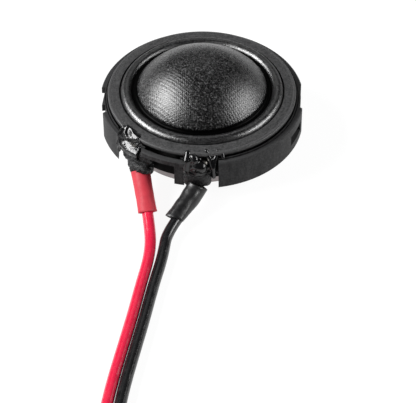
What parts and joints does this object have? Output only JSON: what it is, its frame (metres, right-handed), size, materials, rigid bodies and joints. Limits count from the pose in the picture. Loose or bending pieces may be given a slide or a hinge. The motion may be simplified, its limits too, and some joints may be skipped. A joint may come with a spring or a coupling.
{
  "type": "car tweeter",
  "caption": "Round soft-dome tweeter module in a moulded ring chassis, with a steel motor cup and two soldered leads in heat-shrink sleeves.",
  "frame": {"origin": "centre of the magnet cup's flat back face", "axes": "+Z along the dome's axis, the way it fires; the leads leave towards -Y"},
  "size_m": [0.0415, 0.1409, 0.0193],
  "materials": {
    "moulded_plastic": "satin moulded plastic with a light grain",
    "grained_plastic": "finely textured satin",
    "coated_cloth": "cloth with a soft damping coat, slight gloss",
    "dome_cloth": "fine coated weave, soft sheen",
    "gloss_adhesive": "wet-looking gloss",
    "former_foil": "thin foil",
    "enamelled_wire": "enamelled copper-clad wire",
    "plated_steel": "zinc plated",
    "magnet_plating": "nickel plated neodymium",
    "felt": "loose felt",
    "tie_plastic": "satin",
    "tinsel_wire": "braided conductor",
    "tinned_brass": "tinned",
    "block_plastic": "rough matte",
    "solder": "bright tin solder",
    "red_heat_shrink": "satin",
    "black_heat_shrink": "satin",
    "red_insulation": "semi-gloss soft vinyl",
    "black_insulation": "semi-gloss soft vinyl"
  },
  "bodies": {
    "housing": {"chassis": "moulded_plastic", "shoulder_ring": "moulded_plastic", "diaphragm_flange": "grained_plastic", "surround": "coated_cloth", "yoke_cup": "plated_steel", "magnet": "magnet_plating", "pole_plate": "plated_steel", "damping_felt": "felt", "coil_tie": "tie_plastic", "red_lead_out": "tinsel_wire", "red_terminal_tag": "tinned_brass", "red_terminal_block": "block_plastic", "red_tinsel_solder": "solder", "red_lead_joint": "solder", "red_glue": "gloss_adhesive", "red_sleeve": "red_heat_shrink", "red_lead": "red_insulation", "red_coil": "red_insulation", "red_tail": "red_insulation", "red_tinned_end": "solder", "black_lead_out": "tinsel_wire", "black_terminal_tag": "tinned_brass", "black_terminal_block": "block_plastic", "black_tinsel_solder": "solder", "black_lead_joint": "solder", "black_glue": "gloss_adhesive", "black_sleeve": "black_heat_shrink", "black_lead": "black_insulation", "black_coil": "black_insulation", "black_tail": "black_insulation", "black_tinned_end": "solder"},
    "diaphragm": {"dome": "dome_cloth", "edge_bead": "gloss_adhesive", "voice_coil_former": "former_foil", "voice_coil_winding": "enamelled_wire"}
  },
  "joints": [
    {"name": "diaphragm_travel", "type": "slide", "parent": "housing", "child": "diaphragm", "axis": [0, 0, 1], "range_m": [-0.0005, 0.0005], "stiffness_N_per_m": 2000, "deforming": ["surround", "red_lead_out", "black_lead_out"]}
  ]
}
